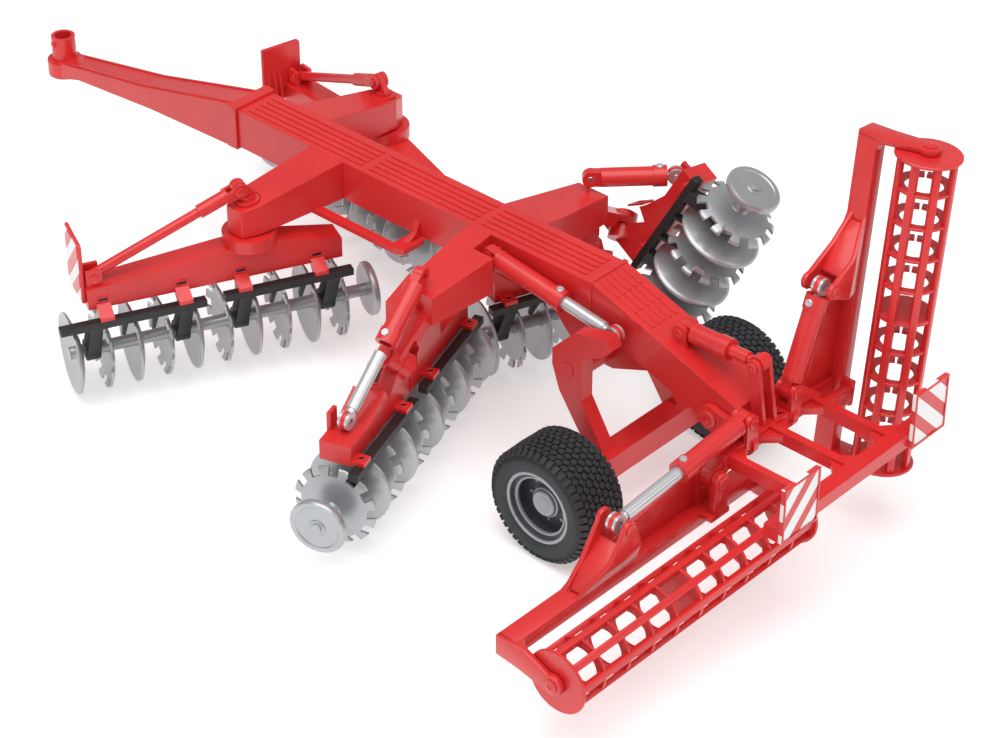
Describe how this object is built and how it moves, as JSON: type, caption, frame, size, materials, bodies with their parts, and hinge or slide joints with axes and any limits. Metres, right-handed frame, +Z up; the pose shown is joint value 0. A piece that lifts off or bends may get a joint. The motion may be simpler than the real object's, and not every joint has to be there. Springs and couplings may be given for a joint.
{
  "type": "toy disc harrow",
  "caption": "Trailed toy disc harrow on two wheels, with swinging front disc gangs, folding rear disc gangs and folding cage rollers; one side is folded.",
  "frame": {"origin": "on the floor, below the middle of the outline in length and width", "axes": "+X forward to the hitch, +Y to the left, +Z up; the toy stands slightly nose-down on its wheels and its foremost disc"},
  "size_m": [0.5496, 0.2772, 0.1964],
  "materials": {
    "red": "gloss moulded red",
    "disc": "satin silver",
    "carrier": "matte black",
    "rod": "smooth silver",
    "plate": "gloss white with red stripes",
    "tyre": "matte charcoal",
    "rim": "satin grey"
  },
  "bodies": {
    "frame": {"drawbar": "red", "main_beam": "red", "front_arm_left": "red", "front_arm_right": "red", "rear_arm_left": "red", "rear_arm_right": "red", "inner_carrier_left": "carrier", "inner_carrier_right": "carrier"},
    "front_gang_left": {"front_beam_left": "red", "front_strut_left": "red", "front_carrier_left": "carrier", "marker_left": "red"},
    "front_discs_left": {"front_discs_left": "disc"},
    "inner_discs_left": {"inner_discs_left": "disc"},
    "outer_gang_left": {"outer_beam_left": "red", "outer_carrier_left": "carrier"},
    "outer_discs_left": {"outer_discs_left": "disc"},
    "fold_barrel_left": {"fold_barrel_left": "red"},
    "fold_rod_left": {"fold_rod_left": "rod"},
    "front_gang_right": {"front_beam_right": "red", "front_strut_right": "red", "front_carrier_right": "carrier", "marker_right": "red"},
    "front_discs_right": {"front_discs_right": "disc"},
    "inner_discs_right": {"inner_discs_right": "disc"},
    "outer_gang_right": {"outer_beam_right": "red", "outer_carrier_right": "carrier"},
    "outer_discs_right": {"outer_discs_right": "disc"},
    "fold_barrel_right": {"fold_barrel_right": "red"},
    "fold_rod_right": {"fold_rod_right": "rod"},
    "carriage": {"carriage": "red"},
    "wheel_left": {"tyre_left": "tyre", "rim_left": "rim"},
    "wheel_right": {"tyre_right": "tyre", "rim_right": "rim"},
    "lift_barrel": {"lift_barrel": "red"},
    "lift_rod": {"lift_rod": "rod"},
    "roller_frame": {"roller_frame": "red", "warning_plates": "plate"},
    "link_barrel": {"link_barrel": "red"},
    "link_rod": {"link_rod": "red"},
    "roller_arm_left": {"roller_arm_left": "red"},
    "roller_left": {"roller_left": "red"},
    "roller_barrel_left": {"roller_barrel_left": "red"},
    "roller_rod_left": {"roller_rod_left": "rod"},
    "roller_arm_right": {"roller_arm_right": "red"},
    "roller_right": {"roller_right": "red"},
    "roller_barrel_right": {"roller_barrel_right": "red"},
    "roller_rod_right": {"roller_rod_right": "rod"}
  },
  "joints": [
    {"name": "front_swing_left", "type": "hinge", "parent": "frame", "child": "front_gang_left", "pos_m": [0.0576, 0.02757, 0.0797], "axis": [-0.0497, 0, -0.9988], "range_deg": [0, 53.5]},
    {"name": "front_discs_spin_left", "type": "hinge", "parent": "front_gang_left", "child": "front_discs_left", "pos_m": [0.05495, 0.02757, 0.02637], "axis": [0.4253, 0.9048, -0.0212], "continuous": true},
    {"name": "inner_discs_spin_left", "type": "hinge", "parent": "frame", "child": "inner_discs_left", "pos_m": [-0.04569, 0.0025, 0.02597], "axis": [-0.3301, 0.9438, 0.0164], "continuous": true},
    {"name": "rear_fold_left", "type": "hinge", "parent": "frame", "child": "outer_gang_left", "pos_m": [-0.06439, 0.04921, 0.07076], "axis": [0.3612, 0.6659, 0.6528], "range_deg": [0, 91]},
    {"name": "outer_discs_spin_left", "type": "hinge", "parent": "outer_gang_left", "child": "outer_discs_left", "pos_m": [-0.0721, 0.078, 0.02729], "axis": [-0.3301, 0.9438, 0.0164], "continuous": true},
    {"name": "fold_barrel_turn_left", "type": "hinge", "parent": "frame", "child": "fold_barrel_left", "pos_m": [-0.05883, 0.02817, 0.10612], "axis": [0.579, 0.5369, 0.6136], "range_deg": [0, 44.73]},
    {"name": "fold_rod_slide_left", "type": "slide", "parent": "fold_barrel_left", "child": "fold_rod_left", "axis": [-0.2113, 0.8257, -0.523], "range_m": [-0.03623, 0]},
    {"name": "front_swing_right", "type": "hinge", "parent": "frame", "child": "front_gang_right", "pos_m": [0.08137, -0.09103, 0.07852], "axis": [0.0497, 0, 0.9988], "range_deg": [-53.5, 0]},
    {"name": "front_discs_spin_right", "type": "hinge", "parent": "front_gang_right", "child": "front_discs_right", "pos_m": [0.07871, -0.09103, 0.02518], "axis": [0.9794, -0.1959, -0.0488], "continuous": true},
    {"name": "inner_discs_spin_right", "type": "hinge", "parent": "frame", "child": "inner_discs_right", "pos_m": [-0.04569, -0.06595, 0.02597], "axis": [-0.3301, -0.9438, 0.0164], "continuous": true},
    {"name": "rear_fold_right", "type": "hinge", "parent": "frame", "child": "outer_gang_right", "pos_m": [-0.06439, -0.11267, 0.07076], "axis": [-0.3612, 0.6659, -0.6528], "range_deg": [-91, 0]},
    {"name": "outer_discs_spin_right", "type": "hinge", "parent": "outer_gang_right", "child": "outer_discs_right", "pos_m": [-0.11639, -0.11471, 0.07908], "axis": [-0.4082, -0.1144, 0.9057], "continuous": true},
    {"name": "fold_barrel_turn_right", "type": "hinge", "parent": "frame", "child": "fold_barrel_right", "pos_m": [-0.05883, -0.09163, 0.10612], "axis": [-0.579, 0.5369, -0.6136], "range_deg": [-44.73, 0]},
    {"name": "fold_rod_slide_right", "type": "slide", "parent": "fold_barrel_right", "child": "fold_rod_right", "axis": [-0.7042, -0.7086, 0.0446], "range_m": [0, 0.03623]},
    {"name": "carriage_lift", "type": "hinge", "parent": "frame", "child": "carriage", "pos_m": [-0.12657, -0.03173, 0.07285], "axis": [0, -1, 0], "range_deg": [-25, 0]},
    {"name": "wheel_spin_left", "type": "hinge", "parent": "carriage", "child": "wheel_left", "pos_m": [-0.15073, 0.03077, 0.03], "axis": [0, 1, 0], "continuous": true},
    {"name": "wheel_spin_right", "type": "hinge", "parent": "carriage", "child": "wheel_right", "pos_m": [-0.15073, -0.09423, 0.03], "axis": [0, 1, 0], "continuous": true},
    {"name": "lift_barrel_turn", "type": "hinge", "parent": "frame", "child": "lift_barrel", "pos_m": [-0.06508, -0.01323, 0.10133], "axis": [0, 1, 0], "range_deg": [0, 3.23]},
    {"name": "lift_rod_slide", "type": "slide", "parent": "lift_barrel", "child": "lift_rod", "axis": [-0.9963, 0, -0.0857], "range_m": [-0.01098, 0]},
    {"name": "roller_frame_tilt", "type": "hinge", "parent": "frame", "child": "roller_frame", "pos_m": [-0.19853, -0.03173, 0.07543], "axis": [0, 1, 0], "range_deg": [-10, 10]},
    {"name": "link_barrel_turn", "type": "hinge", "parent": "frame", "child": "link_barrel", "pos_m": [-0.16917, -0.03173, 0.10201], "axis": [0, 1, 0], "range_deg": [-3.55, 3.55]},
    {"name": "link_rod_slide", "type": "slide", "parent": "link_barrel", "child": "link_rod", "axis": [-0.9973, 0, 0.0732], "range_m": [-0.005, 0.005]},
    {"name": "roller_fold_left", "type": "hinge", "parent": "roller_frame", "child": "roller_arm_left", "pos_m": [-0.21898, 0.00727, 0.06684], "axis": [0.9988, 0, -0.0497], "range_deg": [0, 84.3]},
    {"name": "roller_spin_left", "type": "hinge", "parent": "roller_arm_left", "child": "roller_left", "pos_m": [-0.24258, 0.04827, 0.04138], "axis": [0, 1, 0], "continuous": true},
    {"name": "roller_barrel_turn_left", "type": "hinge", "parent": "roller_frame", "child": "roller_barrel_left", "pos_m": [-0.21806, -0.01573, 0.08542], "axis": [0.9988, 0, -0.0497], "range_deg": [0, 73.34]},
    {"name": "roller_rod_slide_left", "type": "slide", "parent": "roller_barrel_left", "child": "roller_rod_left", "axis": [-0.0045, 0.9959, -0.0904], "range_m": [-0.03759, 0]},
    {"name": "roller_fold_right", "type": "hinge", "parent": "roller_frame", "child": "roller_arm_right", "pos_m": [-0.21898, -0.07073, 0.06684], "axis": [-0.9988, 0, 0.0497], "range_deg": [-84.3, 0]},
    {"name": "roller_spin_right", "type": "hinge", "parent": "roller_arm_right", "child": "roller_right", "pos_m": [-0.23936, -0.10127, 0.10606], "axis": [0.0495, -0.0993, 0.9938], "continuous": true},
    {"name": "roller_barrel_turn_right", "type": "hinge", "parent": "roller_frame", "child": "roller_barrel_right", "pos_m": [-0.21806, -0.04773, 0.08542], "axis": [-0.9988, 0, 0.0497], "range_deg": [-73.34, 0]},
    {"name": "roller_rod_slide_right", "type": "slide", "parent": "roller_barrel_right", "child": "roller_rod_right", "axis": [0.0462, -0.3723, 0.9269], "range_m": [0, 0.03759]}
  ],
  "couplings": [
    {"joint": "fold_barrel_turn_left", "follows": "rear_fold_left", "ratio": 0.49142},
    {"joint": "fold_rod_slide_left", "follows": "rear_fold_left", "m_per_rad": -0.022803},
    {"joint": "fold_barrel_turn_right", "follows": "rear_fold_right", "ratio": 0.49142},
    {"joint": "fold_rod_slide_right", "follows": "rear_fold_right", "m_per_rad": -0.022803},
    {"joint": "lift_barrel_turn", "follows": "carriage_lift", "ratio": -0.129},
    {"joint": "lift_rod_slide", "follows": "carriage_lift", "m_per_rad": 0.025143},
    {"joint": "link_barrel_turn", "follows": "roller_frame_tilt", "ratio": 0.35468},
    {"joint": "link_rod_slide", "follows": "roller_frame_tilt", "m_per_rad": -0.028605},
    {"joint": "roller_barrel_turn_left", "follows": "roller_fold_left", "ratio": 0.86992},
    {"joint": "roller_rod_slide_left", "follows": "roller_fold_left", "m_per_rad": -0.025542},
    {"joint": "roller_barrel_turn_right", "follows": "roller_fold_right", "ratio": 0.86992},
    {"joint": "roller_rod_slide_right", "follows": "roller_fold_right", "m_per_rad": -0.025542}
  ]
}
